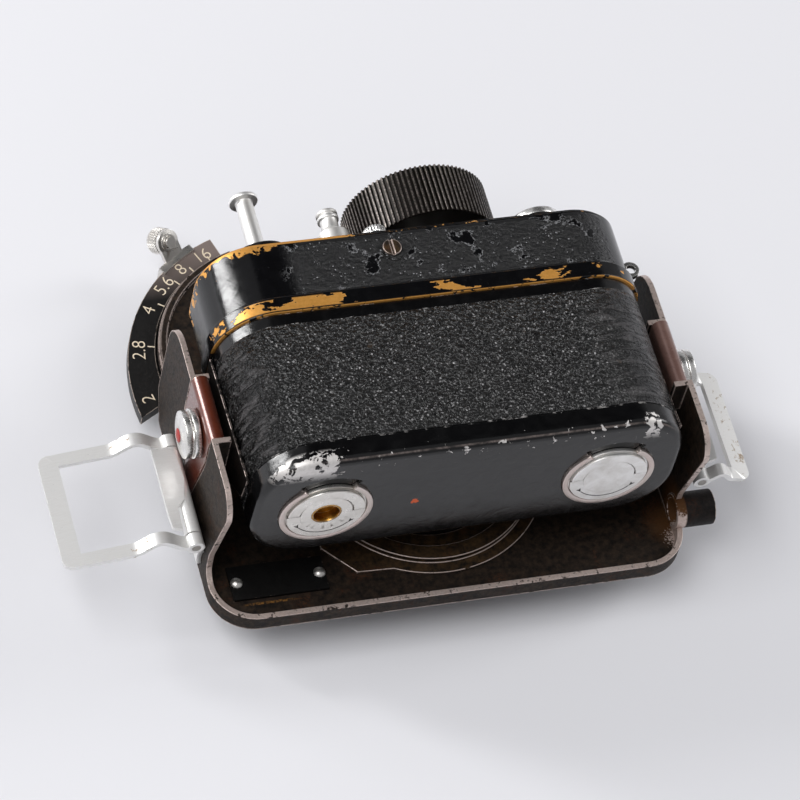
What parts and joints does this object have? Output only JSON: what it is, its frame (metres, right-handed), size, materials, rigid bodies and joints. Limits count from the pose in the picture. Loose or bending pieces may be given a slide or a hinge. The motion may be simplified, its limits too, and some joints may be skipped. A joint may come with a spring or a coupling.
{
  "type": "miniature clockwork camera",
  "caption": "Flat miniature camera with a clockwork winding knob, held by its ends in a pressed-steel concealment bracket with an aperture sector and strap loops.",
  "frame": {"origin": "on the lens axis, in the front face of the bracket's front collar, which the part stands on", "axes": "+Z along the lens axis towards the camera's back, +Y towards the winding knob, +X towards the cable tube's side"},
  "size_m": [0.1251, 0.0855, 0.0476],
  "materials": {
    "blackened_steel": "blackened, worn bright at the edges",
    "black_lacquer": "glossy black lacquer over brass, worn",
    "leather": "black grained covering",
    "copper_lacquer": "copper-brown lacquer",
    "chrome": "bright, scratched",
    "steel": "bare",
    "brass": "machined",
    "light_alloy": "stamped",
    "bronze": "dark, patinated",
    "dark_scale": "satin black with cream figures",
    "glass": "coated",
    "film": "base",
    "dark_plastic": "matt"
  },
  "bodies": {
    "bracket_and_camera": {"mount_bracket": "blackened_steel", "lens_board": "blackened_steel", "number_plate": "dark_scale", "plate_rivets": "light_alloy", "cable_tube": "blackened_steel", "front_collar": "blackened_steel", "left_guide": "blackened_steel", "right_guide": "blackened_steel", "rest_posts": "steel", "left_loop_hinge": "chrome", "right_loop_hinge": "chrome", "loop_pins": "steel", "latch_rivets": "steel", "sector_stud": "steel", "body_shell": "black_lacquer", "leather_wrap": "leather", "top_cover": "black_lacquer", "cover_screws": "steel", "strap_eyelet": "chrome", "knob_bush": "chrome", "release_bush": "black_lacquer", "cable_post": "chrome", "film_chamber": "dark_plastic", "gear_plate": "steel", "pressure_plate": "steel", "film_cassette": "dark_plastic", "film_strip": "film", "shutter_plate": "steel", "lens_barrel": "blackened_steel", "front_lens": "glass", "rear_lens": "glass"},
    "left_loop": {"left_strap_loop": "chrome"},
    "right_loop": {"right_strap_loop": "chrome"},
    "left_latch": {"left_latch_leaf": "copper_lacquer", "left_latch_button": "chrome"},
    "right_latch": {"right_latch_leaf": "copper_lacquer", "right_latch_button": "chrome"},
    "sector": {"aperture_sector": "dark_scale", "sector_gear": "brass", "cable_lug": "steel"},
    "clamp": {"clamp_wheel": "steel"},
    "ring": {"coupling_ring": "brass"},
    "diaphragm": {"diaphragm_ring": "light_alloy"},
    "shutter": {"shutter_blade": "steel"},
    "knob": {"winding_knob": "bronze", "mainspring": "steel"},
    "barrel": {"spring_barrel": "brass"},
    "spool": {"takeup_spool": "light_alloy"},
    "counter": {"counter_disc": "chrome"},
    "speed": {"speed_dial": "light_alloy"},
    "release": {"release_rod": "chrome"},
    "lid": {"bottom_lid": "black_lacquer", "lock_rings": "chrome"},
    "left_lock": {"left_lock_disc": "chrome", "left_lock_key": "chrome"},
    "right_lock": {"right_lock_disc": "chrome", "right_lock_key": "chrome"}
  },
  "joints": [
    {"name": "left_loop_swing", "type": "hinge", "parent": "bracket_and_camera", "child": "left_loop", "pos_m": [-0.0462, -0.0064, 0.0213], "axis": [0, 1, 0], "range_deg": [0, 72]},
    {"name": "right_loop_swing", "type": "hinge", "parent": "bracket_and_camera", "child": "right_loop", "pos_m": [0.0462, -0.0064, 0.0213], "axis": [0, -1, 0], "range_deg": [0, 72]},
    {"name": "left_latch_press", "type": "hinge", "parent": "bracket_and_camera", "child": "left_latch", "pos_m": [-0.04095, -0.002, 0.013], "axis": [0, 1, 0], "range_deg": [0, 1.8], "stiffness_Nm_per_rad": 2.4},
    {"name": "right_latch_press", "type": "hinge", "parent": "bracket_and_camera", "child": "right_latch", "pos_m": [0.04095, -0.002, 0.013], "axis": [0, -1, 0], "range_deg": [0, 1.8], "stiffness_Nm_per_rad": 2.4},
    {"name": "sector_turn", "type": "hinge", "parent": "bracket_and_camera", "child": "sector", "pos_m": [-0.01648, 0.02743, 0.007], "axis": [0, 0, 1], "range_deg": [-67.5, 8.7]},
    {"name": "ring_turn", "type": "hinge", "parent": "bracket_and_camera", "child": "ring", "pos_m": [0, 0, 0.007], "axis": [0, 0, 1], "range_deg": [-6.8, 52.6]},
    {"name": "diaphragm_turn", "type": "hinge", "parent": "bracket_and_camera", "child": "diaphragm", "pos_m": [0, 0, 0.007], "axis": [0, 0, 1], "range_deg": [-6.8, 52.6]},
    {"name": "clamp_turn", "type": "hinge", "parent": "sector", "child": "clamp", "pos_m": [-0.03378, 0.05357, 0.01143], "axis": [0.4228, -0.6388, 0.6428], "continuous": true},
    {"name": "shutter_open", "type": "hinge", "parent": "bracket_and_camera", "child": "shutter", "pos_m": [0.014, 0.0055, 0.0278], "axis": [0, 0, 1], "range_deg": [0, 60], "stiffness_Nm_per_rad": 0.002},
    {"name": "winding_turn", "type": "hinge", "parent": "bracket_and_camera", "child": "knob", "pos_m": [0.0054, 0.034, 0.0335], "axis": [0, 1, 0], "continuous": true},
    {"name": "barrel_turn", "type": "hinge", "parent": "bracket_and_camera", "child": "barrel", "pos_m": [0.0054, 0.019, 0.0335], "axis": [0, 1, 0], "continuous": true},
    {"name": "spool_turn", "type": "hinge", "parent": "bracket_and_camera", "child": "spool", "pos_m": [0.02587, 0, 0.0335], "axis": [0, 1, 0], "continuous": true},
    {"name": "counter_turn", "type": "hinge", "parent": "bracket_and_camera", "child": "counter", "pos_m": [0.02349, 0.026, 0.04166], "axis": [0, 1, 0], "continuous": true},
    {"name": "speed_turn", "type": "hinge", "parent": "bracket_and_camera", "child": "speed", "pos_m": [-0.0064, 0.028, 0.0442], "axis": [0, 1, 0], "range_deg": [-150, 150]},
    {"name": "release_press", "type": "slide", "parent": "bracket_and_camera", "child": "release", "axis": [0, -1, 0], "range_m": [0, 0.0025], "stiffness_N_per_m": 600},
    {"name": "lid_remove", "type": "slide", "parent": "bracket_and_camera", "child": "lid", "axis": [0, -1, 0], "range_m": [0, 0.03]},
    {"name": "left_lock_turn", "type": "hinge", "parent": "lid", "child": "left_lock", "pos_m": [-0.0255, -0.0204, 0.0324], "axis": [0, -1, 0], "range_deg": [-90, 0]},
    {"name": "right_lock_turn", "type": "hinge", "parent": "lid", "child": "right_lock", "pos_m": [0.0255, -0.0204, 0.0324], "axis": [0, -1, 0], "range_deg": [0, 90]}
  ],
  "couplings": [
    {"joint": "ring_turn", "follows": "sector_turn", "ratio": -0.77778},
    {"joint": "diaphragm_turn", "follows": "sector_turn", "ratio": -0.77778},
    {"joint": "spool_turn", "follows": "barrel_turn", "ratio": -1.1724},
    {"joint": "counter_turn", "follows": "barrel_turn", "ratio": 1.6749}
  ]
}
